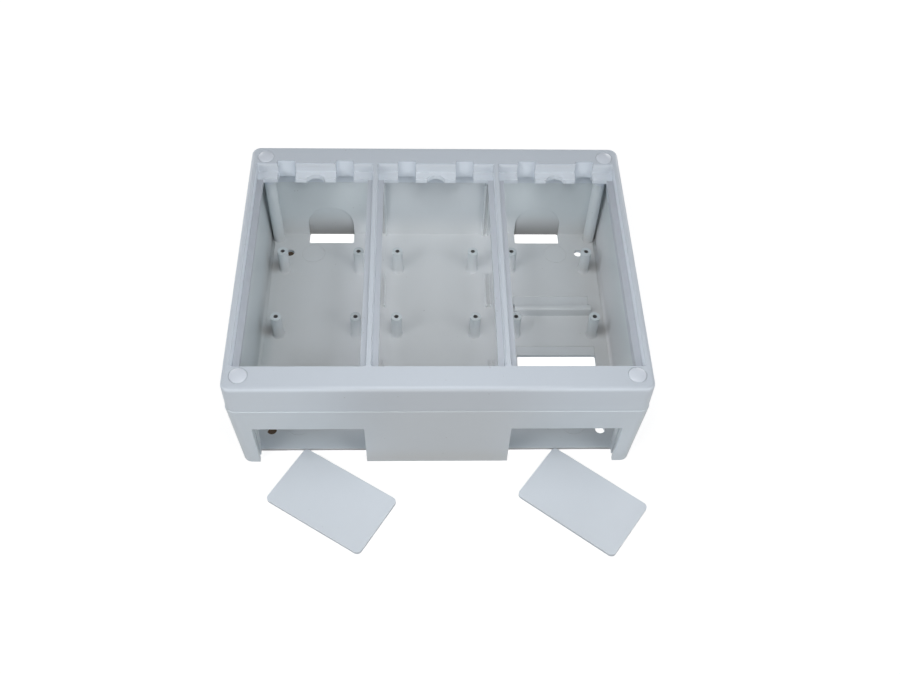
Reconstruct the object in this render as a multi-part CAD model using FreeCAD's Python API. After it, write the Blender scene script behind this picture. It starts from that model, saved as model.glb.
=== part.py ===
import FreeCAD
import Part
import math
import os

from FreeCAD import Vector

# Three-compartment moulded housing: a deep tray, a screwed cover frame with
# three device windows, four cover screws under press-in caps, and the two
# blanking plates of its front openings, which lie loose in front of it.
# Origin: centre of the tray's underside, +X along the housing, +Y to the
# back wall, +Z up. All sizes in millimetres and degrees.

# Outer form, measured at the parting line between tray and cover
housing_length = 280.0
housing_width = 224.0
housing_height = 95.0
cover_height = 25.5
corner_radius = 6.5
tray_draft = 2.35
cover_draft = 0.3
cover_setback = 0.35
parting_chamfer = 0.5
top_edge_radius = 3.0

# Mould wall thicknesses
tray_wall = 3.0
floor_thickness = 3.0
cover_wall = 3.0
cover_top_thickness = 3.0

# Locating lip of the cover, inside the tray wall
lip_depth = 7.5
lip_thickness = 1.6
lip_clearance = 0.3

# Device windows in the cover
side_border = 5.6
front_border = 19.2
back_border = 18.9
bar_width = 3.9
window_corner_radius = 1.2
rim_lead_in = 0.5
rim_lead_depth = 2.5

# Ledges that carry the device lids, with the collar behind them
ledge_drop = 8.5
ledge_thickness = 4.0
ledge_width = 4.1
back_ledge_width = 7.6
collar_thickness = 2.3
notch_chord = 13.7
notch_depth = 4.5

# Hinge pockets in the back ledge, two to each window
pocket_spacing = 44.0
pocket_width = 13.5
pocket_setback = 3.2
pocket_height = 16.5

# Corner fixings: column in the tray, stepped boss in the cover
column_inset = 11.6
column_diameter = 9.0
column_rib_thickness = 1.8
column_rib_gap = 1.0
pilot_diameter = 3.2
pilot_depth = 24.0
cap_recess_diameter = 12.2
cap_recess_depth = 2.2
boss_wall = 1.6
screw_bore_diameter = 9.0
screw_bore_depth = 10.5
screw_seat_thickness = 2.2
screw_clearance_diameter = 4.4

# Self-tapping cover screw
screw_head_diameter = 7.6
screw_head_height = 2.8
screw_shank_diameter = 3.2
screw_length = 34.0
screw_drive_width = 1.0
screw_drive_length = 5.6
screw_drive_depth = 1.4

# Press-in cap
cap_clearance = 0.2
cap_dome_height = 1.3
cap_edge_height = 0.2
cap_stem_thickness = 1.0
cap_stem_clearance = 0.1
cap_stem_depth = 2.6

# Device bosses on the tray floor, four to each window
device_spacing_x = 60.0
device_spacing_y = 65.6
device_row_y = 1.6
device_boss_height = 22.2
device_boss_diameter = 8.2
device_boss_foot_diameter = 9.8
device_boss_foot_height = 1.5
device_hole_diameter = 3.4
device_hole_depth = 19.0

# Front openings, closed in use by sliding blanking plates
front_block_width = 99.4
front_jamb_width = 15.0
opening_height = 46.6
surround_wall = 4.0
surround_depth = 10.0
plate_thickness = 2.3
plate_slide_clearance = 0.4
plate_corner_radius = 3.5
groove_depth = 1.5
floor_edge_setback = 9.0

# The blanking plates as they lie: centre x, turn, gap to the floor edge
left_plate_x = -73.3
left_plate_turn = -32.4
left_plate_gap = 0.6
right_plate_x = 100.6
right_plate_turn = -37.3
right_plate_gap = 0.6

# Cable slots in the floor at the back wall, with arched thin-wall recesses
cable_slot_x = 85.2
cable_slot_length = 36.8
cable_slot_width = 12.8
cable_slot_corner = 1.5
arch_recess_depth = 2.2
arch_height = 29.5

# Fixing holes and round knock-outs in the floor
fixing_inset_x = 21.3
fixing_inset_y = 27.0
fixing_hole_diameter = 7.0
knockout_inset_x = 40.5
knockout_front_inset = 32.0
knockout_back_inset = 28.0
knockout_diameter = 19.0
knockout_groove_width = 0.4
knockout_groove_depth = 0.2

# Rail seat and cable slot on the floor of the right compartment
rail_length = 60.0
rail_centre_x = 92.0
rail_front_y = 19.3
rail_width = 4.9
rail_height = 8.2
rail_edge_radius = 1.5
rail_flat_length = 15.2
rail_flat_depth = 0.6
rail_slit_width = 1.1
rail_slit_length = 7.0
floor_slot_back_y = -18.4
floor_slot_width = 12.0
floor_slot_flat_length = 8.1

# Guide rib pairs that a partition slides between
guide_gap = 2.4
guide_rib_thickness = 1.2
guide_offset_x = 42.0
guide_rib_height = 3.0
guide_wall_rib_depth = 2.4
guide_back_start_y = 28.0
guide_back_end_y = 60.5
guide_front_start_y = -70.0
guide_front_end_y = -24.5

# Derived levels and positions
parting_z = housing_height - cover_height
cover_ceiling_z = housing_height - cover_top_thickness
ledge_top_z = housing_height - ledge_drop
ledge_bottom_z = ledge_top_z - ledge_thickness
window_length = (housing_length - 2 * side_border - 2 * bar_width) / 3
window_pitch = window_length + bar_width
window_centres = [-window_pitch, 0.0, window_pitch]
window_front_y = front_border - housing_width / 2
window_back_y = housing_width / 2 - back_border
column_x = housing_length / 2 - column_inset
column_y = housing_width / 2 - column_inset
corners = [(sx * column_x, sy * column_y) for sx in (-1, 1) for sy in (-1, 1)]
lip_bottom_z = parting_z - lip_depth
opening_inner_x = front_block_width / 2
opening_outer_x = housing_length / 2 - front_jamb_width
overcut = 1.0


def rounded_wire(x0, x1, y0, y1, radius, z):
    # Closed outline of a rectangle with four corner arcs at height z
    r = min(radius, (x1 - x0) / 2.01, (y1 - y0) / 2.01)
    k = r * (1 - math.sqrt(0.5))
    edges = []
    spans = [
        ((x0 + r, y0), (x1 - r, y0), (x1 - k, y0 + k), (x1, y0 + r)),
        ((x1, y0 + r), (x1, y1 - r), (x1 - k, y1 - k), (x1 - r, y1)),
        ((x1 - r, y1), (x0 + r, y1), (x0 + k, y1 - k), (x0, y1 - r)),
        ((x0, y1 - r), (x0, y0 + r), (x0 + k, y0 + k), (x0 + r, y0)),
    ]
    for start, end, mid, turn in spans:
        edges.append(Part.LineSegment(Vector(*start, z), Vector(*end, z)).toShape())
        edges.append(Part.Arc(Vector(*end, z), Vector(*mid, z), Vector(*turn, z)).toShape())
    return Part.Wire(edges)


def tray_half_size(inset, z):
    # Half length and half width of the drafted tray at height z, moved in by inset
    inset += math.tan(math.radians(tray_draft)) * (parting_z - z)
    return housing_length / 2 - inset, housing_width / 2 - inset


def cover_half_size(inset, z):
    # The same for the cover, which sits back from the tray all round
    inset += math.tan(math.radians(cover_draft)) * (z - parting_z) + cover_setback
    return housing_length / 2 - inset, housing_width / 2 - inset


def tapered_block(low, high, z0, z1, radius, cy=0.0):
    # Block with flat leaning sides between two centred rectangles, and round corners
    levels = []
    for (hx, hy), z in ((low, z0), (high, z1)):
        levels.append([Vector(sx * hx, cy + sy * hy, z) for sx, sy in ((-1, -1), (1, -1), (1, 1), (-1, 1))])
    bottom, top = levels
    loops = [bottom[::-1], top]
    loops += [[bottom[i - 1], bottom[i], top[i], top[i - 1]] for i in range(4)]
    shell = Part.Shell([Part.Face(Part.makePolygon(loop + loop[:1])) for loop in loops])
    shell.sewShape()
    block = Part.Solid(shell)
    leaning = [e for e in block.Edges if abs(e.Vertexes[0].Z - e.Vertexes[1].Z) > (z1 - z0) / 2]
    return block.makeFillet(radius, leaning)


def drafted(half_size, inset, z0, z1):
    radius = max(corner_radius - inset, 1.0)
    return tapered_block(half_size(inset, z0), half_size(inset, z1), z0, z1, radius)


def level_edges(shape, z):
    # Edges that lie in the plane at height z
    return [e for e in shape.Edges if all(abs(v.Z - z) < 0.01 for v in e.Vertexes)]


def box(x0, x1, y0, y1, z0, z1):
    return Part.makeBox(x1 - x0, y1 - y0, z1 - z0, Vector(x0, y0, z0))


def rounded_box(x0, x1, y0, y1, radius, z0, z1):
    face = Part.Face(rounded_wire(x0, x1, y0, y1, radius, z0))
    return face.extrude(Vector(0, 0, z1 - z0))


def cylinder(diameter, x, y, z0, z1):
    return Part.makeCylinder(diameter / 2, z1 - z0, Vector(x, y, z0))


def tray_inner_y(z):
    # Inner face of the tray's long walls at height z
    lean = math.tan(math.radians(tray_draft)) * (parting_z - z)
    return housing_width / 2 - lean - tray_wall


def build_tray():
    outer = drafted(tray_half_size, 0, 0, parting_z)
    outer = outer.makeChamfer(parting_chamfer, level_edges(outer, parting_z))
    cavity = drafted(tray_half_size, tray_wall, floor_thickness, parting_z + overcut)
    tray = outer.cut(cavity)

    added = []
    holes = []
    root_z = floor_thickness / 2

    # Corner columns, each tied by a rib to the long wall behind it
    rib_top = lip_bottom_z - column_rib_gap
    half_rib = column_rib_thickness / 2
    for x, y in corners:
        added.append(cylinder(column_diameter, x, y, root_z, parting_z))
        end_y = math.copysign(housing_width / 2, y)
        added.append(box(x - half_rib, x + half_rib, min(y, end_y), max(y, end_y), root_z, rib_top))
        holes.append(cylinder(pilot_diameter, x, y, parting_z - pilot_depth, parting_z + overcut))

    # Device bosses: posts with a splayed foot and a blind screw hole
    boss_top_z = floor_thickness + device_boss_height
    for cx in window_centres:
        for x in (cx - device_spacing_x / 2, cx + device_spacing_x / 2):
            for y in (device_row_y, device_row_y + device_spacing_y):
                added.append(cylinder(device_boss_diameter, x, y, root_z, boss_top_z))
                added.append(
                    Part.makeCone(
                        device_boss_foot_diameter / 2,
                        device_boss_diameter / 2,
                        device_boss_foot_height,
                        Vector(x, y, floor_thickness),
                    )
                )
                holes.append(
                    cylinder(device_hole_diameter, x, y, boss_top_z - device_hole_depth, boss_top_z + overcut)
                )

    # Surrounds of the two front openings, grooved for the sliding plates
    back_y = -tray_inner_y(0) - tray_wall + surround_depth
    edge_y = -tray_inner_y(0) - tray_wall + floor_edge_setback
    groove_front_y = -tray_inner_y(0)
    groove_back_y = groove_front_y + plate_thickness + plate_slide_clearance
    for side in (-1, 1):
        x0, x1 = sorted((side * opening_inner_x, side * opening_outer_x))
        added.append(
            box(
                x0 - surround_wall,
                x1 + surround_wall,
                -housing_width / 2,
                back_y,
                0,
                opening_height + surround_wall,
            )
        )
        holes.append(box(x0, x1, -housing_width, back_y + overcut, floor_thickness, opening_height))
        holes.append(box(x0, x1, -housing_width, edge_y, -overcut, opening_height))
        holes.append(
            box(
                x0 - groove_depth,
                x1 + groove_depth,
                groove_front_y,
                groove_back_y,
                -overcut,
                opening_height + groove_depth,
            )
        )

    # Guide rib pairs on the floor and the back wall
    for side in (-1, 1):
        for step in (-1, 1):
            x = side * guide_offset_x + step * (guide_gap + guide_rib_thickness) / 2
            x0 = x - guide_rib_thickness / 2
            x1 = x + guide_rib_thickness / 2
            rib_top_z = floor_thickness + guide_rib_height
            added.append(box(x0, x1, guide_back_start_y, guide_back_end_y, root_z, rib_top_z))
            added.append(box(x0, x1, guide_front_start_y, guide_front_end_y, root_z, rib_top_z))
            wall_y = tray_inner_y(floor_thickness) - guide_wall_rib_depth
            added.append(box(x0, x1, wall_y, housing_width / 2, root_z, lip_bottom_z - column_rib_gap))

    # Rail seat on the right compartment's floor
    rail_x0 = rail_centre_x - rail_length / 2
    rail_x1 = rail_centre_x + rail_length / 2
    rail = box(
        rail_x0,
        rail_x1,
        rail_front_y,
        rail_front_y + rail_width,
        root_z,
        floor_thickness + rail_height,
    )
    rail_top = level_edges(rail, floor_thickness + rail_height)
    long_edges = [e for e in rail_top if e.BoundBox.XLength > rail_length / 2]
    added.append(rail.makeFillet(rail_edge_radius, long_edges))

    # Back cable slots, and above each an arched recess that runs out towards its crown
    recess_y = tray_inner_y(floor_thickness) + arch_recess_depth
    half_slot = cable_slot_length / 2
    spring_z = floor_thickness + max(arch_height - half_slot, 0.5)
    for side in (-1, 1):
        cx = side * cable_slot_x
        holes.append(
            rounded_box(
                cx - half_slot,
                cx + half_slot,
                recess_y - cable_slot_width,
                recess_y,
                cable_slot_corner,
                -overcut,
                floor_thickness,
            )
        )
        y0 = recess_y - cable_slot_width / 2
        foot = [Vector(cx + half_slot, y0, spring_z), Vector(cx + half_slot, y0, floor_thickness)]
        foot += [Vector(cx - half_slot, y0, floor_thickness), Vector(cx - half_slot, y0, spring_z)]
        crown_point = Vector(cx, y0, floor_thickness + arch_height)
        profile = [Part.LineSegment(a, b).toShape() for a, b in zip(foot, foot[1:])]
        profile.append(Part.Arc(foot[-1], crown_point, foot[0]).toShape())
        arch = Part.Face(Part.Wire(profile)).extrude(Vector(0, recess_y - y0, 0))
        slope = [Vector(cx - half_slot, recess_y, floor_thickness)]
        slope.append(Vector(cx - half_slot, tray_inner_y(crown_point.z), crown_point.z))
        slope.append(Vector(cx - half_slot, recess_y, crown_point.z))
        wedge = Part.Face(Part.makePolygon(slope + slope[:1]))
        holes.append(arch.cut(wedge.extrude(Vector(cable_slot_length, 0, 0))))

    # Wall fixing holes and knock-out rings in the four floor corners
    for sx in (-1, 1):
        for sy in (-1, 1):
            fx = sx * (housing_length / 2 - fixing_inset_x)
            fy = sy * (housing_width / 2 - fixing_inset_y)
            holes.append(cylinder(fixing_hole_diameter, fx, fy, -overcut, floor_thickness + overcut))
            kx = sx * (housing_length / 2 - knockout_inset_x)
            knockout_inset = knockout_front_inset if sy < 0 else knockout_back_inset
            ky = sy * (housing_width / 2 - knockout_inset)
            ring_z = floor_thickness - knockout_groove_depth
            ring = cylinder(knockout_diameter, kx, ky, ring_z, floor_thickness)
            core_diameter = knockout_diameter - 2 * knockout_groove_width
            holes.append(ring.cut(cylinder(core_diameter, kx, ky, ring_z, floor_thickness)))

    # Sunken flats, end slits and the through slot of the right compartment
    flat_z = floor_thickness - rail_flat_depth
    flat_y0 = rail_front_y + rail_width
    holes.append(box(rail_x0, rail_x1, flat_y0, flat_y0 + rail_flat_length, flat_z, floor_thickness))
    for x in (rail_x0, rail_x1 - rail_slit_width):
        holes.append(
            box(x, x + rail_slit_width, flat_y0, flat_y0 + rail_slit_length, -overcut, floor_thickness)
        )
    holes.append(
        box(
            rail_x0,
            rail_x1,
            floor_slot_back_y,
            floor_slot_back_y + floor_slot_flat_length,
            flat_z,
            floor_thickness,
        )
    )
    holes.append(
        rounded_box(
            rail_x0,
            rail_x1,
            floor_slot_back_y - floor_slot_width,
            floor_slot_back_y,
            cable_slot_corner,
            -overcut,
            floor_thickness + overcut,
        )
    )

    inside = added[0].fuse(added[1:]).common(outer)
    tray = tray.fuse(inside.Solids)
    tray = tray.cut(holes)
    return tray.removeSplitter()


def build_cover():
    outer = drafted(cover_half_size, 0, parting_z, housing_height)
    outer = outer.makeFillet(top_edge_radius, level_edges(outer, housing_height))
    cover = outer.cut(drafted(cover_half_size, cover_wall, parting_z - overcut, cover_ceiling_z))

    added = []
    holes = []

    # Collar round the window field, solid down to the underside of the ledges
    field_x = 1.5 * window_length + bar_width + collar_thickness
    added.append(
        box(
            -field_x,
            field_x,
            window_front_y - collar_thickness,
            window_back_y + collar_thickness,
            ledge_bottom_z,
            cover_ceiling_z,
        )
    )

    # Stepped corner bosses round the cap recess and the screw bore
    boss_diameter = cap_recess_diameter + 2 * boss_wall
    seat_z = housing_height - screw_bore_depth
    for x, y in corners:
        added.append(cylinder(boss_diameter, x, y, seat_z - screw_seat_thickness, cover_ceiling_z))
        added.append(cylinder(column_diameter, x, y, parting_z, seat_z))
        holes.append(
            cylinder(
                cap_recess_diameter,
                x,
                y,
                housing_height - cap_recess_depth,
                housing_height + overcut,
            )
        )
        holes.append(cylinder(screw_bore_diameter, x, y, seat_z, housing_height))
        holes.append(cylinder(screw_clearance_diameter, x, y, parting_z - overcut, seat_z))

    # Windows: lid recess with a lead-in, then the clear opening inside the ledges
    pocket_back_y = window_back_y + pocket_setback
    pocket_bottom_z = housing_height - pocket_height
    for cx in window_centres:
        x0 = cx - window_length / 2
        x1 = cx + window_length / 2
        y0 = window_front_y
        y1 = window_back_y
        holes.append(
            rounded_box(x0, x1, y0, y1, window_corner_radius, ledge_top_z, housing_height + overcut)
        )
        half_x = window_length / 2
        half_y = (y1 - y0) / 2
        lead_in = tapered_block(
            (half_x, half_y),
            (half_x + rim_lead_in, half_y + rim_lead_in),
            housing_height - rim_lead_depth,
            housing_height,
            window_corner_radius + rim_lead_in,
            (y0 + y1) / 2,
        )
        lead_in.translate(Vector(cx, 0, 0))
        holes.append(lead_in)
        front_edge_y = y0 + ledge_width
        back_edge_y = y1 - back_ledge_width
        holes.append(
            rounded_box(
                x0 + ledge_width,
                x1 - ledge_width,
                front_edge_y,
                back_edge_y,
                window_corner_radius,
                ledge_bottom_z - overcut,
                ledge_top_z + overcut,
            )
        )
        # Thumb notch in the middle of the back ledge
        notch_radius = (notch_chord ** 2 / 4 + notch_depth ** 2) / (2 * notch_depth)
        notch_y = back_edge_y + notch_depth - notch_radius
        holes.append(
            cylinder(2 * notch_radius, cx, notch_y, ledge_bottom_z - overcut, ledge_top_z + overcut)
        )
        # Hinge pockets, each a bay set back behind the ledge
        for px in (cx - pocket_spacing / 2, cx + pocket_spacing / 2):
            bay = pocket_width / 2 + collar_thickness
            added.append(
                box(
                    px - bay,
                    px + bay,
                    y1,
                    pocket_back_y + collar_thickness,
                    pocket_bottom_z,
                    cover_ceiling_z,
                )
            )
            holes.append(
                box(
                    px - pocket_width / 2,
                    px + pocket_width / 2,
                    back_edge_y - overcut,
                    pocket_back_y,
                    pocket_bottom_z - overcut,
                    housing_height + overcut,
                )
            )

    # Locating lip that drops inside the tray wall
    lip_inset = tray_wall + lip_clearance
    core_inset = lip_inset + lip_thickness
    shelf_top_z = parting_z + lip_thickness
    core = drafted(tray_half_size, core_inset, lip_bottom_z - overcut, shelf_top_z + overcut)
    lip = drafted(tray_half_size, lip_inset, lip_bottom_z, parting_z).cut(core)
    shelf = drafted(cover_half_size, cover_wall / 2, parting_z, shelf_top_z).cut(core)

    inside = added[0].fuse(added[1:]).common(outer)
    cover = cover.fuse(inside.Solids + [shelf, lip])
    cover = cover.cut(holes)
    return cover.removeSplitter()


def build_screw(x, y):
    # Cylinder head with a straight drive slot, on a plain shank
    seat_z = housing_height - screw_bore_depth
    head_r = screw_head_diameter / 2
    shank_r = screw_shank_diameter / 2
    top_z = seat_z + screw_head_height
    tip_z = seat_z - screw_length
    outline = [
        Vector(0, 0, tip_z),
        Vector(shank_r, 0, tip_z),
        Vector(shank_r, 0, seat_z),
        Vector(head_r, 0, seat_z),
        Vector(head_r, 0, top_z),
        Vector(0, 0, top_z),
        Vector(0, 0, tip_z),
    ]
    profile = Part.Face(Part.makePolygon(outline))
    screw = profile.revolve(Vector(0, 0, 0), Vector(0, 0, 1), 360)
    screw = screw.cut(
        box(
            -screw_drive_length / 2,
            screw_drive_length / 2,
            -screw_drive_width / 2,
            screw_drive_width / 2,
            top_z - screw_drive_depth,
            top_z + overcut,
        )
    )
    screw.translate(Vector(x, y, 0))
    return screw


def build_cap(x, y):
    # Crowned disc on a hollow stem that presses into the screw bore
    disc_r = cap_recess_diameter / 2 - cap_clearance
    seat_z = housing_height - cap_recess_depth
    edge_z = housing_height + cap_edge_height
    crown_z = housing_height + cap_dome_height
    stem_r = screw_bore_diameter / 2 - cap_stem_clearance
    core_r = stem_r - cap_stem_thickness
    stem_z = seat_z - cap_stem_depth
    core_top_z = seat_z + cap_recess_depth * 0.4
    crown_r = disc_r / 2
    outline = [
        Vector(0, 0, core_top_z),
        Vector(core_r, 0, core_top_z),
        Vector(core_r, 0, stem_z),
        Vector(stem_r, 0, stem_z),
        Vector(stem_r, 0, seat_z),
        Vector(disc_r, 0, seat_z),
        Vector(disc_r, 0, edge_z),
        Vector(crown_r, 0, crown_z),
        Vector(0, 0, crown_z),
        Vector(0, 0, core_top_z),
    ]
    cap = Part.Face(Part.makePolygon(outline)).revolve(Vector(0, 0, 0), Vector(0, 0, 1), 360)
    cap.translate(Vector(x, y, 0))
    return cap


def build_plate(x, turn, gap):
    # Plain plate that would slide up the grooves, lying flat in front of the floor edge
    length = opening_outer_x - opening_inner_x + 2 * groove_depth - plate_slide_clearance
    width = opening_height + groove_depth - plate_slide_clearance
    r = plate_corner_radius
    plate = rounded_box(-length / 2, length / 2, -width / 2, width / 2, r, 0, plate_thickness)
    angle = math.radians(abs(turn))
    reach = (length / 2 - r) * math.sin(angle) + (width / 2 - r) * math.cos(angle) + r
    edge_y = -tray_inner_y(0) - tray_wall + floor_edge_setback
    plate.rotate(Vector(0, 0, 0), Vector(0, 0, 1), turn)
    plate.translate(Vector(x, edge_y - gap - reach, 0))
    return plate


def main():
    os.makedirs("parts", exist_ok=True)
    pieces = {
        "base_tray": build_tray(),
        "cover_frame": build_cover(),
        "blanking_plate_left": build_plate(left_plate_x, left_plate_turn, left_plate_gap),
        "blanking_plate_right": build_plate(right_plate_x, right_plate_turn, right_plate_gap),
    }
    corner_names = ["front_left", "back_left", "front_right", "back_right"]
    for name, (x, y) in zip(corner_names, corners):
        pieces["screw_cap_" + name] = build_cap(x, y)
        pieces["cover_screw_" + name] = build_screw(x, y)
    for name, shape in pieces.items():
        shape.exportStep("parts/" + name + ".step")
        print(name, "solids", len(shape.Solids), "valid", shape.isValid(), "volume", round(shape.Volume, 1))


main()
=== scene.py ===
import math

import bmesh
import bpy
from mathutils import Matrix, Vector


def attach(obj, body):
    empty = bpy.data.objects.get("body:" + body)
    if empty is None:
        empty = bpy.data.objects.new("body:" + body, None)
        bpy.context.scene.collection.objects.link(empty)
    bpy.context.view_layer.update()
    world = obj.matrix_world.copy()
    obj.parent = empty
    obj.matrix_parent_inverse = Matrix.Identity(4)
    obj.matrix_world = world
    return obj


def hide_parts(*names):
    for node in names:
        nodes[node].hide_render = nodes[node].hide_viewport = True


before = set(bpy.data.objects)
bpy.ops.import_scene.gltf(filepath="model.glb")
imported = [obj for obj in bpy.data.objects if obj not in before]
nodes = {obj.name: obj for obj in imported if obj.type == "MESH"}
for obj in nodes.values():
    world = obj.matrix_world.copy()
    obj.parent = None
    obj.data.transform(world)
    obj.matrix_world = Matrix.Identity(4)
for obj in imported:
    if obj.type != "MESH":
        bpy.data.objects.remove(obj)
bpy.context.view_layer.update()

scene = bpy.context.scene
corners = ["front_left", "back_left", "front_right", "back_right"]
print("loaded", len(nodes), "moulded parts")


class Flow:  # a node's output that can stand in an expression
    def __init__(self, tree, socket):
        self.tree = tree
        self.socket = socket

    def maths(self, operation, *others):
        values = dict(enumerate([self, *others]))
        return self.tree.add("ShaderNodeMath", {"operation": operation}, values)

    def __add__(self, other):
        return self.maths("ADD", other)

    def __sub__(self, other):
        return self.maths("SUBTRACT", other)

    def __mul__(self, other):
        return self.maths("MULTIPLY", other)

    def __truediv__(self, other):
        return self.maths("DIVIDE", other)

    def __pow__(self, other):
        return self.maths("POWER", other)

    def __rsub__(self, other):
        return self.tree.add("ShaderNodeMath", {"operation": "SUBTRACT"}, {0: other, 1: self})

    __radd__ = __add__
    __rmul__ = __mul__

    def atLeast(self, limit):
        return self.maths("MAXIMUM", limit)

    def atMost(self, limit):
        return self.maths("MINIMUM", limit)

    def size(self):
        return self.maths("ABSOLUTE")

    def ramp(self, low, high, start=0.0, end=1.0):  # smooth step from low to high
        settings = {"interpolation_type": "SMOOTHSTEP"}
        values = {"Value": self, "From Min": low, "From Max": high, "To Min": start, "To Max": end}
        return self.tree.add("ShaderNodeMapRange", settings, values)

    def fall(self, low, high):  # one below low, nothing above high
        return self.ramp(low, high, 1.0, 0.0)

    def near(self, middle, half, soft):  # one within half a width of the middle
        return (self - middle).size().fall(half, half + soft)

    def fromNearest(self, pitch):  # distance to the nearest multiple of the pitch
        return (self - (self / pitch).maths("ROUND") * pitch).size()


def apart(across, along):
    return (across * across + along * along) ** 0.5


class Tree:  # the nodes of one material, or of the world
    def __init__(self, owner):
        owner.use_nodes = True
        self.owner = owner
        self.graph = owner.node_tree
        self.graph.nodes.clear()

    def add(self, kind, settings=None, values=None, out=0):
        node = self.graph.nodes.new(kind)
        for key, setting in (settings or {}).items():
            setattr(node, key, setting)
        for key, value in (values or {}).items():
            self.feed(node.inputs[key], value)
        return Flow(self, node.outputs[out]) if node.outputs else node

    def feed(self, socket, value):
        if isinstance(value, Flow):
            self.graph.links.new(value.socket, socket)
        elif socket.type == "RGBA":
            socket.default_value = (*value, 1.0)[:4]
        else:
            socket.default_value = value

    def blend(self, mask, first, second):  # two colours by a mask
        return self.add("ShaderNodeMix", {"data_type": "RGBA"}, {0: mask, 6: first, 7: second}, out=2)

    def scaleColour(self, colour, factor):
        grey = self.add("ShaderNodeCombineColor", {}, {0: factor, 1: factor, 2: factor})
        settings = {"data_type": "RGBA", "blend_type": "MULTIPLY"}
        return self.add("ShaderNodeMix", settings, {0: 1.0, 6: colour, 7: grey}, out=2)

    def place(self):  # object coordinates in metres, whole and split
        coords = self.add("ShaderNodeTexCoord", out="Object")
        split = self.add("ShaderNodeSeparateXYZ", {}, {0: coords}).socket.node
        return coords, [Flow(self, part) for part in split.outputs]

    def noise(self, coords, scale, detail=2.0, roughness=0.5, distortion=0.0):
        values = {
            "Vector": coords,
            "Scale": scale,
            "Detail": detail,
            "Roughness": roughness,
            "Distortion": distortion,
        }
        return self.add("ShaderNodeTexNoise", {}, values)


cameraSpec = {
    "place": (-0.012387, -0.467289, 0.629353),
    "yaw": 0.0512599,
    "pitch": 0.9311788,
    "roll": -0.0405752,
    "lens": 40.373,
    "sensor": 36.0,
    "shiftX": -0.00056,
    "shiftY": 0.00056,
    "clip": (0.01, 20),
}


def makeCamera(spec):
    level = Vector((math.sin(spec["yaw"]), math.cos(spec["yaw"]), 0))
    side = Vector((math.cos(spec["yaw"]), -math.sin(spec["yaw"]), 0))
    up = Vector((0, 0, 1))
    forward = level * math.cos(spec["pitch"]) - up * math.sin(spec["pitch"])
    down = -(level * math.sin(spec["pitch"]) + up * math.cos(spec["pitch"]))
    right = side * math.cos(spec["roll"]) + down * math.sin(spec["roll"])
    down = down * math.cos(spec["roll"]) - side * math.sin(spec["roll"])
    data = bpy.data.cameras.new("camera")
    data.sensor_width = spec["sensor"]
    data.lens = spec["lens"]
    data.shift_x = spec["shiftX"]
    data.shift_y = spec["shiftY"]
    data.clip_start, data.clip_end = spec["clip"]
    camera = bpy.data.objects.new("camera", data)
    turn = Matrix((right, -down, -forward)).transposed().to_4x4()
    camera.matrix_world = Matrix.Translation(spec["place"]) @ turn
    scene.collection.objects.link(camera)
    scene.camera = camera
    print("camera stands at", tuple(round(v, 3) for v in spec["place"]))


makeCamera(cameraSpec)


lightSpec = {
    "worldColour": (0.98, 0.99, 1.0),
    "worldStrength": 0.2,
    "seenColour": (1.0, 1.0, 1.0),
    "aim": (0, 0, 0.03),
    "lamps": [  # name, place, size, watts
        ("overhead", (0.0, -0.2, 0.5), 0.2, 0.52),
        ("overhead back", (0.0, -0.1, 0.4), 0.2, 0.2),
        ("left", (-1.1, -1.0, 0.9), 0.9, 9.0),
        ("right", (1.1, -1.0, 0.9), 0.9, 7.6),
        ("back left", (-0.9, 1.3, 0.32), 0.9, 6.5),
        ("back right", (0.9, 1.3, 0.32), 0.9, 6.5),
    ],
}


def makeLights(spec):
    world = bpy.data.worlds.new("studio")
    tree = Tree(world)
    soft = {"Color": spec["worldColour"], "Strength": spec["worldStrength"]}
    soft = tree.add("ShaderNodeBackground", {}, soft)
    white = tree.add("ShaderNodeBackground", {}, {"Color": spec["seenColour"], "Strength": 1.0})
    seen = tree.add("ShaderNodeLightPath", out="Is Camera Ray")  # the camera meets plain white
    both = tree.add("ShaderNodeMixShader", {}, {0: seen, 1: soft, 2: white})
    tree.add("ShaderNodeOutputWorld", {}, {"Surface": both})
    scene.world = world
    for name, place, size, watts in spec["lamps"]:
        data = bpy.data.lights.new(name, "AREA")
        data.shape = "DISK"
        data.size = size
        data.energy = watts
        lamp = bpy.data.objects.new(name, data)
        lamp.location = place
        aim = Vector(spec["aim"]) - Vector(place)
        lamp.rotation_euler = aim.to_track_quat("-Z", "Y").to_euler()
        lamp.visible_camera = False
        scene.collection.objects.link(lamp)
    print("lit by", len(spec["lamps"]), "soft lamps")


makeLights(lightSpec)


floorSpec = {
    "radius": 3.0,
    "sides": 64,
    "drop": 0.0002,
    "paint": (0.3, 0.3, 0.3),
    "glow": 0.84,  # level the camera sees round the housing
    "glowUnder": 1.0,  # and through its slots, and far away
    "underBox": (-0.108, 0.135, -0.104, 0.11),
    "underSoft": 0.002,
    "far": (0.35, 1.1),
    "holeX": -0.1187,  # painted shade under the housing, seen through the left fixing holes
    "holeY": 0.085,
    "slitX": 0.092,  # and through the slits of the rail seat
    "slitHalf": 0.0295,
    "slitY": 0.0277,
    "underShade": (0.007, 0.009),
    "underShadeColour": (0.038, 0.028, 0.021),
}


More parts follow.
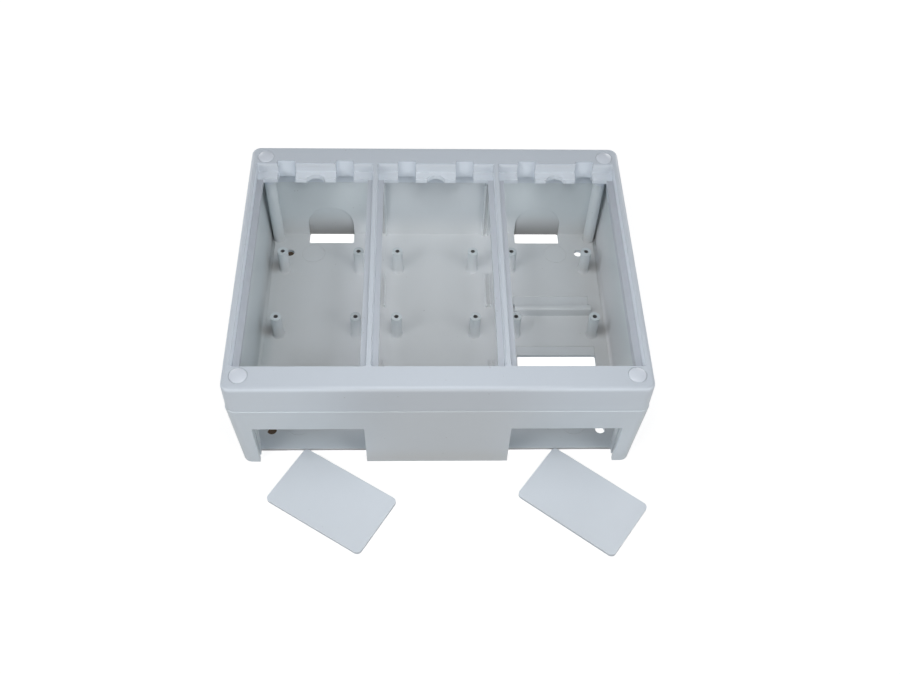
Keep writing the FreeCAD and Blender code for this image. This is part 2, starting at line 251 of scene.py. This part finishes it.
def makeFloor(spec):
    mesh = bpy.data.meshes.new("floor")
    form = bmesh.new()
    bmesh.ops.create_circle(form, cap_ends=True, segments=spec["sides"], radius=spec["radius"])
    form.to_mesh(mesh)
    form.free()
    floor = bpy.data.objects.new("floor", mesh)
    floor.location = (0, 0, -spec["drop"])
    scene.collection.objects.link(floor)
    tree = Tree(bpy.data.materials.new("floor paint"))
    x, y = tree.place()[1][:2]

    x0, x1, y0, y1 = spec["underBox"]
    soft = spec["underSoft"]
    under = x.near((x0 + x1) / 2, (x1 - x0) / 2 - soft, soft)
    under = under * y.near((y0 + y1) / 2, (y1 - y0) / 2 - soft, soft)
    white = under.atLeast(apart(x, y).ramp(*spec["far"]))
    glow = white * (spec["glowUnder"] - spec["glow"]) + spec["glow"]

    # painted shade: near-black patches on the floor under the left fixing holes and the rail-seat slits
    toHole = apart(x - spec["holeX"], y.size() - spec["holeY"])
    toSlit = apart((x - spec["slitX"]).size() - spec["slitHalf"], y - spec["slitY"])
    underShade = toHole.atMost(toSlit).fall(*spec["underShade"])
    ground = tree.blend(underShade, spec["paint"], spec["underShadeColour"])
    shine = tree.blend(underShade, tree.scaleColour((1.0, 1.0, 1.0), glow), spec["underShadeColour"])
    rays = ["Is Camera Ray", "Is Glossy Ray", "Is Transmission Ray"]
    seen = sum(tree.add("ShaderNodeLightPath", out=ray) for ray in rays).atMost(1.0)
    matt = {"Base Color": ground, "Roughness": 1.0, "Specular IOR Level": 0.0}
    bright = dict(matt, **{"Emission Color": shine, "Emission Strength": 1.0})
    paint = tree.add("ShaderNodeBsdfPrincipled", {}, matt)
    lit = tree.add("ShaderNodeBsdfPrincipled", {}, bright)
    both = tree.add("ShaderNodeMixShader", {}, {0: seen, 1: paint, 2: lit})
    tree.add("ShaderNodeOutputMaterial", {}, {"Surface": both})
    mesh.materials.append(tree.owner)
    print("floor laid under the housing")


makeFloor(floorSpec)


def mouldedPlastic(name, look, tint=None):
    tree = Tree(bpy.data.materials.new(name))
    coords, (x, y, z) = tree.place()
    cloud = tree.noise(coords, *look["cloud"])
    haze = tree.noise(coords, *look["haze"])
    tone = (cloud - 0.5) * look["cloudDepth"] + (haze - 0.5) * look["hazeDepth"] + 1.0
    colour, gloss = tint(tree, look, coords, x, y, z) if tint else (look["colour"], 0.0)
    colour = tree.scaleColour(colour, tone)
    cells = {"Vector": coords, "Scale": look["speckScale"], "Randomness": 1.0}
    cells = tree.add("ShaderNodeTexVoronoi", {"feature": "F1"}, cells)
    patch = tree.noise(coords, *look["speckPatch"]).ramp(*look["speckSpread"])
    speck = cells.fall(*look["speckSize"]) * patch * look["speckDepth"]
    colour = tree.blend(speck, colour, look["speckColour"])
    scuffs = tree.noise(coords, *look["scuff"]).ramp(*look["scuffSpread"])
    roughness = scuffs * look["scuffDepth"] + (haze - 0.5) * look["hazeGloss"] + look["roughness"] - gloss
    grain = tree.noise(coords, *look["grain"])
    wave = tree.noise(coords, *look["wave"])
    height = grain * look["grainHeight"] + wave * look["waveHeight"]
    edge = tree.add("ShaderNodeBevel", {"samples": 6}, {"Radius": look["edgeRadius"]})
    relief = {"Strength": 1.0, "Distance": 1.0, "Height": height, "Normal": edge}
    skin = {
        "Base Color": colour,
        "Roughness": roughness,
        "IOR": look["ior"],
        "Specular IOR Level": 0.5,
        "Normal": tree.add("ShaderNodeBump", {}, relief),
    }
    skin = tree.add("ShaderNodeBsdfPrincipled", {}, skin)
    tree.add("ShaderNodeOutputMaterial", {}, {"Surface": skin})
    print("mixed", name)
    return tree.owner


def paintedFrontShade(x, y, frontShadeZone):  # painted shade: a darker patch in the middle of the front face
    return x.size().fall(*frontShadeZone["across"]) * y.ramp(*frontShadeZone["deep"], frontShadeZone["most"], 0.0)


def trayFloor(tree, insideShading, x, y):  # painted shade and light on the floor: darker towards the side walls, in front of the outer compartments and along the left wall, with a painted pool of light beside the bars where their shadow falls
    ground = tree.blend(x.size().ramp(*insideShading["sideShadeX"]), insideShading["floorColour"], insideShading["sideShadeColour"])
    front = y.fall(*insideShading["frontY"]) * x.size().ramp(*insideShading["frontX"]) * x.size().fall(*insideShading["frontEnd"])
    ground = tree.blend(front, ground, insideShading["frontColour"])
    left = x.fall(*insideShading["leftX"]) * y.ramp(*insideShading["leftY"], 1.0, insideShading["leftLeast"])
    ground = tree.blend(left, ground, insideShading["leftColour"])
    fromBar = x.size() - insideShading["barLightX"]
    barLight = fromBar.ramp(*insideShading["barLightInner"]) * fromBar.fall(*insideShading["barLightOuter"])
    return tree.blend(barLight, ground, insideShading["barLightColour"])


def trayTint(tree, look, coords, x, y, z):
    lean = z * look["lean"]  # the walls lean out with height
    upX, upY, depth = x.size() - lean, y.size() - lean, y - lean
    inside = upX.fall(*look["insideX"]) * upY.fall(*look["insideY"]) * z.ramp(*look["insideZ"])
    brink, insideShading, brownPatch, foot = look["brink"], look["insideShading"], look["brownPatch"], look["foot"]
    arch, bore, guide = look["arch"], look["bore"], look["guide"]

    # painted shade on the front face: darker in the middle, darker and browner towards the base
    frontShaded = tree.blend(z.fall(*look["frontFootShadeZ"]), look["frontShadeColour"], look["footColour"])
    colour = tree.blend(paintedFrontShade(x, y, look["frontShadeZone"]), look["colour"], frontShaded)
    # painted shade: a darker line along the floor's front edge in the openings
    edge = y.ramp(*brink["front"]) * y.fall(*brink["back"]) * x.size().fall(*brink["ends"])
    colour = tree.blend(edge * z.fall(*brink["top"]), colour, brink["colour"])

    # painted shade inside the tray: the walls darker than the outside, the middle of the back wall darker
    # still; the floor has its own tones
    low = z.fall(*insideShading["height"])
    shaded = y.ramp(*insideShading["middleY"]) * x.size().fall(*insideShading["middleX"])
    walls = tree.blend(shaded, insideShading["wallColour"], insideShading["middleColour"])
    # painted reflection of the floor: the foot of the right side wall lighter
    flank = (x - lean).ramp(*insideShading["flankX"]) * z.fall(*insideShading["flankZ"])
    paintedInside = tree.blend(low, walls, trayFloor(tree, insideShading, x, y))
    paintedInside = tree.blend(flank, paintedInside, insideShading["flankColour"])
    colour = tree.blend(inside, colour, paintedInside)

    # brownish patches on the floor along the right wall
    brownPatchMask = tree.noise(coords, *brownPatch["noise"]).ramp(*brownPatch["spread"])
    brownPatchMask = brownPatchMask * brownPatch["patchy"] + (1.0 - brownPatch["patchy"])
    brownPatchMask = brownPatchMask * x.ramp(*brownPatch["x"]) * inside * z.fall(*brownPatch["z"])
    # painted shadow of the outer bosses on the floor
    toBossShadow = apart(x.size() - foot["x"], (y - foot["y"]).size() - bore["halfY"])
    # painted shade: the arched recesses in the back wall darken towards the bottom
    across = x.size().near(arch["x"], arch["half"], arch["soft"])
    sunk = depth.ramp(*arch["wall"]) * depth.fall(*arch["end"])
    # painted shade inside the boss holes
    boreX = x.fromNearest(bore["pitch"]) - bore["halfX"]
    toBore = apart(boreX, (y - bore["rowY"]).size() - bore["halfY"])
    # painted light between the guide ribs on the floor and back wall, where shade falls
    onFloor = sum(y.near(middle, half, guide["soft"]) for middle, half in guide["runs"])
    onFloor = onFloor * z.fall(*guide["top"])
    between = x.size().near(guide["x"], guide["half"], guide["gapSoft"])
    masks = {
        # painted shade: a bluish darker tone on the floor and lower walls behind the front openings
        "mouth": inside * low * y.fall(*look["mouth"]["y"]),
        "brownPatch": brownPatchMask,
        "foot": toBossShadow.fall(*foot["reach"]) * inside * z.fall(*foot["z"]),
        "arch": across * sunk * z.fall(*arch["z"]) ** 2.0,
        "bore": toBore.fall(*bore["radius"]) * z.fall(*bore["top"]) * z.ramp(*bore["bottom"]),
        "guide": between * inside * onFloor.atLeast(depth.ramp(*guide["wall"])),
    }
    for mark, mask in masks.items():
        colour = tree.blend(mask * look[mark]["depth"], colour, look[mark]["colour"])
    return colour, inside * (1.0 - low) * look["wallGloss"]


def coverTint(tree, look, coords, x, y, z):
    inner = x.size().fall(*look["innerX"]) * y.size().fall(*look["innerY"])
    colour = tree.blend(inner, look["colour"], look["innerColour"])
    seat, ledge = look["seat"], look["ledge"]
    fromMiddle = x.fromNearest(look["pitch"])
    between = (fromMiddle - seat["pocketX"]).size().ramp(*seat["pocketHalf"])
    shade = y.ramp(*seat["shadeY"]) * seat["shade"] + (1.0 - seat["shade"])
    mask = between * shade * y.ramp(*seat["y"]) * inner * z.ramp(*seat["z"])
    colour = tree.blend(mask, colour, seat["colour"])
    # painted shade on the side ledges of each window
    shelf = tree.blend(x.size().ramp(*ledge["outerX"]), ledge["colour"], ledge["outerColour"])
    mask = fromMiddle.ramp(*ledge["x"]) * y.fall(*ledge["y"]) * inner * z.fall(*ledge["z"])
    colour = tree.blend(mask, colour, shelf)
    # painted shade: darker middle of the front face
    colour = tree.blend(paintedFrontShade(x, y, look["frontShadeZone"]), colour, look["frontShadeColour"])
    # painted shade: the top face darker than the rest of the cover
    return tree.blend(z.ramp(*look["topZ"]), colour, look["topShadeColour"]), 0.0


plainLook = {  # a noise is scale, detail, roughness, distortion
    "roughness": 0.42,
    "ior": 1.53,
    "cloud": (9.0, 3.0, 0.55),
    "cloudDepth": 0.04,
    "haze": (63.0, 2.0, 0.5),
    "hazeDepth": 0.025,
    "hazeGloss": 0.06,
    "speckScale": 240.0,
    "speckSize": (0.08, 0.14),
    "speckPatch": (108.0, 0.0),
    "speckSpread": (0.7, 0.76),
    "speckDepth": 0.35,
    "speckColour": (0.25, 0.25, 0.25),
    "scuff": (90, 4.0, 0.6, 1.2),
    "scuffSpread": (0.55, 0.75),
    "scuffDepth": 0.08,
    "grain": (2600.0, 2.0, 0.6),
    "grainHeight": 0.000007,
    "wave": (28, 1.0, 0.4),
    "waveHeight": 0.00004,
    "edgeRadius": 0.0005,
    # where the painted shade darkens the middle of the front face
    "frontShadeZone": {"across": (0.025, 0.1), "deep": (-0.1095, -0.1085), "most": 0.6},
}
trayLook = dict(
    plainLook,
    colour=(0.715, 0.785, 0.845),
    # painted shade on the front face, browner towards the base
    frontShadeColour=(0.570, 0.595, 0.617),
    footColour=(0.550, 0.545, 0.525),
    frontFootShadeZ=(0.0, 0.024),
    lean=0.041,
    insideX=(0.1352, 0.1362),
    insideY=(0.1072, 0.1082),
    insideZ=(0.0018, 0.0026),
    wallGloss=0.05,
    brink={  # painted shade along the floor edge in the front openings
        "front": (-0.1006, -0.1003),
        "back": (-0.0996, -0.0993),
        "ends": (0.128, 0.129),
        "top": (0.0026, 0.0029),
        "colour": (0.465, 0.470, 0.494),
    },
    # painted shade and painted light on the inner walls and floor
    insideShading={
        "height": (0.004, 0.03),
        "wallColour": (0.675, 0.735, 0.763),
        "middleX": (0.03, 0.055),
        "middleY": (0.1, 0.104),
        "middleColour": (0.622, 0.668, 0.700),
        "flankX": (0.1315, 0.134),
        "flankZ": (0.01, 0.06),
        "flankColour": (0.780, 0.803, 0.825),
        "floorColour": (0.712, 0.740, 0.757),
        # painted shade on the floor towards the side walls, in front of the outer compartments and along
        # the left wall
        "sideShadeX": (0.09, 0.125),
        "sideShadeColour": (0.655, 0.680, 0.692),
        "frontX": (0.07, 0.086),
        "frontEnd": (0.106, 0.118),
        "frontY": (-0.045, 0.0),
        "frontColour": (0.598, 0.617, 0.622),
        "leftX": (-0.131, -0.122),
        "leftY": (0.0, 0.04),
        "leftLeast": 0.3,
        "leftColour": (0.560, 0.605, 0.620),
        # painted light beside the bars, where their shadow falls
        "barLightX": 0.0485,
        "barLightInner": (-0.026, -0.001),
        "barLightOuter": (0.01, 0.034),
        "barLightColour": (0.915, 0.940, 0.962),
    },
    # painted shade behind the front openings
    mouth={"y": (-0.1, -0.066), "depth": 1.0, "colour": (0.605, 0.665, 0.715)},
    brownPatch={
        "noise": (26.0, 3.0, 0.6),
        "spread": (0.4, 0.66),
        "patchy": 0.6,
        "x": (0.098, 0.13),
        "z": (0.0035, 0.016),
        "depth": 0.15,
        "colour": (0.50, 0.44, 0.40),
    },
    foot={  # painted shadow beside the outer bosses
        "x": 0.1292,
        "y": 0.0374,
        "reach": (0.001, 0.0095),
        "z": (0.008, 0.022),
        "depth": 0.8,
        "colour": (0.36, 0.355, 0.35),
    },
    # painted shade in the arched recesses, darker towards the bottom
    arch={
        "x": 0.0852,
        "half": 0.0184,
        "soft": 0.0003,
        "wall": (0.1063, 0.1067),
        "end": (0.1086, 0.1089),
        "z": (0.001, 0.036),
        "depth": 0.76,
        "colour": (0.2, 0.18, 0.16),
    },
    # painted shade inside the boss holes
    bore={
        "pitch": 0.0909,
        "halfX": 0.03,
        "rowY": 0.0344,
        "halfY": 0.0328,
        "radius": (0.0018, 0.0021),
        "top": (0.0245, 0.0251),
        "bottom": (0.004, 0.005),
        "depth": 0.85,
        "colour": (0.13, 0.12, 0.11),
    },
    # painted light between the guide ribs, where shade falls
    guide={
        "x": 0.042,
        "half": 0.0011,
        "gapSoft": 0.0004,
        "runs": [(-0.04725, 0.0225), (0.04425, 0.016)],
        "soft": 0.001,
        "top": (0.0062, 0.0075),
        "wall": (0.103, 0.1035),
        "depth": 0.85,
        "colour": (0.92, 0.94, 0.95),
    },
)
coverLook = dict(
    plainLook,
    roughness=0.4,
    colour=(0.700, 0.765, 0.835),
    # painted shade in the middle of the front face
    frontShadeColour=(0.525, 0.556, 0.592),
    innerX=(0.1345, 0.1355),
    innerY=(0.1015, 0.1025),
    innerColour=(0.720, 0.779, 0.846),
    # painted shade on the top face
    topZ=(0.0938, 0.0947),
    topShadeColour=(0.553, 0.606, 0.671),
    pitch=0.0909,
    seat={  # painted shade on the back ledge between the hinge pockets
        "pocketX": 0.022,
        "pocketHalf": (0.0066, 0.0069),
        "y": (0.082, 0.084),
        "z": (0.081, 0.083),
        "shadeY": (0.087, 0.094),
        "shade": 0.7,
        "colour": (0.634, 0.678, 0.728),
    },
    ledge={  # painted shade on the side ledges of each window, deeper at the outer ends
        "x": (0.0389, 0.0393),
        "y": (0.0838, 0.085),
        "z": (0.0875, 0.09),
        "colour": (0.560, 0.600, 0.655),
        "outerX": (0.11, 0.12),
        "outerColour": (0.510, 0.545, 0.600),
    },
)
plateLook = dict(plainLook, colour=(0.700, 0.755, 0.815), roughness=0.4, speckDepth=0.12)
capLook = dict(plainLook, colour=(0.640, 0.688, 0.760), roughness=0.3, grainHeight=0.000004, speckDepth=0.0)


def dress(node, material):
    piece = nodes[node]
    piece.data.materials.clear()
    piece.data.materials.append(material)


trayMaterial = mouldedPlastic("tray plastic", trayLook, trayTint)
dress("base_tray", trayMaterial)
dress("cover_frame", mouldedPlastic("cover plastic", coverLook, coverTint))
plateMaterial = mouldedPlastic("plate plastic", plateLook)
dress("blanking_plate_left", plateMaterial)
dress("blanking_plate_right", plateMaterial)
capMaterial = mouldedPlastic("cap plastic", capLook)
for corner in corners:
    dress("screw_cap_" + corner, capMaterial)


filletForm = {  # soft corner between the floor and each side wall
    "radius": 0.0026,
    "floor": 0.003,
    "steps": 6,
    "bury": 0.0003,
    "sideX": 0.13427,
    "sideY": 0.1064,
}


def makeFillet(spec, material):
    radius, floor, bury, lean = spec["radius"], spec["floor"], spec["bury"], trayLook["lean"]
    outline = [(bury, floor - bury), (-radius, floor - bury)]  # distance out from the wall's foot, height
    for i in range(spec["steps"] + 1):
        angle = math.pi / 2 * i / spec["steps"]
        rise = radius * (1 - math.cos(angle))
        outline.append((-radius * (1 - math.sin(angle)) + rise * lean, floor + rise))
    outline.append((bury + radius * lean, floor + radius))
    count = len(outline)
    form = bmesh.new()
    for sign in (-1, 1):
        ends = []
        for y in (-spec["sideY"], spec["sideY"]):
            spots = [(sign * (spec["sideX"] + out), y, height) for out, height in outline]
            ends.append([form.verts.new(spot) for spot in spots])
        for i in range(count):
            j = (i + 1) % count
            face = form.faces.new([ends[0][i], ends[0][j], ends[1][j], ends[1][i]])
            face.smooth = 2 <= i < count - 2  # only the curve itself
        form.faces.new(ends[0][::-1])
        form.faces.new(ends[1])
    bmesh.ops.recalc_face_normals(form, faces=form.faces)
    mesh = bpy.data.meshes.new("floor_fillet")
    form.to_mesh(mesh)
    form.free()
    mesh.materials.append(material)
    piece = bpy.data.objects.new("floor_fillet", mesh)
    scene.collection.objects.link(piece)
    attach(piece, "root")
    print("soft floor corner along both side walls")


makeFillet(filletForm, trayMaterial)


capForm = {  # in millimetres
    "columnX": 128.4,
    "columnY": 100.4,
    "stem": [(0.0, 93.68), (3.4, 93.68), (3.4, 90.2), (4.4, 90.2), (4.4, 92.8)],
    "disc": [(5.7, 92.8), (6.0, 93.1), (6.0, 94.6), (5.92, 94.9), (5.74, 95.12), (5.45, 95.26)],
    "domeRadius": 5.45,
    "domeBase": 95.26,
    "domeRise": 0.98,
    "domeSteps": 10,
    "segments": 72,
    "sharp": 40,  # degrees
}


def lathe(name, profile, segments, sharp):  # a profile turned about the upright axis
    form = bmesh.new()
    rings = []
    for radius, height in profile:
        if radius == 0:
            rings.append([form.verts.new((0, 0, height / 1000))])
            continue
        ring = []
        for i in range(segments):
            angle = 2 * math.pi * i / segments
            spot = (radius * math.cos(angle) / 1000, radius * math.sin(angle) / 1000, height / 1000)
            ring.append(form.verts.new(spot))
        rings.append(ring)
    for first, second in zip(rings, rings[1:]):
        for i in range(segments):
            j = (i + 1) % segments
            loop = [first[i % len(first)], first[j % len(first)]]
            loop += [second[j % len(second)], second[i % len(second)]]
            form.faces.new(list(dict.fromkeys(loop)))
    bmesh.ops.recalc_face_normals(form, faces=form.faces)
    for face in form.faces:
        face.smooth = True
    for edge in form.edges:
        edge.smooth = edge.calc_face_angle(0) < math.radians(sharp)
    mesh = bpy.data.meshes.new(name)
    form.to_mesh(mesh)
    form.free()
    return mesh


def makeCaps(spec, material):
    dome = []
    for i in range(spec["domeSteps"] - 1, -1, -1):
        share = i / spec["domeSteps"]
        dome.append((spec["domeRadius"] * share, spec["domeBase"] + spec["domeRise"] * (1 - share ** 2)))
    mesh = lathe("domed cap", spec["stem"] + spec["disc"] + dome, spec["segments"], spec["sharp"])
    mesh.materials.append(material)
    for corner in corners:
        piece = bpy.data.objects.new("domed_cap_" + corner, mesh)
        sideX = 1 if "right" in corner else -1
        sideY = 1 if "back" in corner else -1
        piece.location = (sideX * spec["columnX"] / 1000, sideY * spec["columnY"] / 1000, 0)
        scene.collection.objects.link(piece)
        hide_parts("screw_cap_" + corner)
        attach(piece, "root")
    print("caps turned with", len(mesh.polygons), "faces each")


makeCaps(capForm, capMaterial)


screwLook = {
    "colour": (0.62, 0.63, 0.64),
    "roughness": 0.32,
    "cloud": (700, 3.0, 0.6),
    "cloudDepth": 0.25,
    "glossDepth": 0.2,
    "turning": (4000, 1.0),
    "turningHeight": 0.000008,
}


def zincSteel(look):
    tree = Tree(bpy.data.materials.new("zinc plated steel"))
    coords = tree.place()[0]
    cloud = tree.noise(coords, *look["cloud"])
    height = tree.noise(coords, *look["turning"]) * look["turningHeight"]
    skin = {
        "Base Color": tree.scaleColour(look["colour"], (cloud - 0.5) * look["cloudDepth"] + 1.0),
        "Roughness": (cloud - 0.5) * look["glossDepth"] + look["roughness"],
        "Metallic": 1.0,
        "Normal": tree.add("ShaderNodeBump", {}, {"Distance": 1.0, "Height": height}),
    }
    skin = tree.add("ShaderNodeBsdfPrincipled", {}, skin)
    tree.add("ShaderNodeOutputMaterial", {}, {"Surface": skin})
    return tree.owner


steel = zincSteel(screwLook)
for corner in corners:
    dress("cover_screw_" + corner, steel)
print("screws plated")

scene.view_settings.view_transform = "Standard"
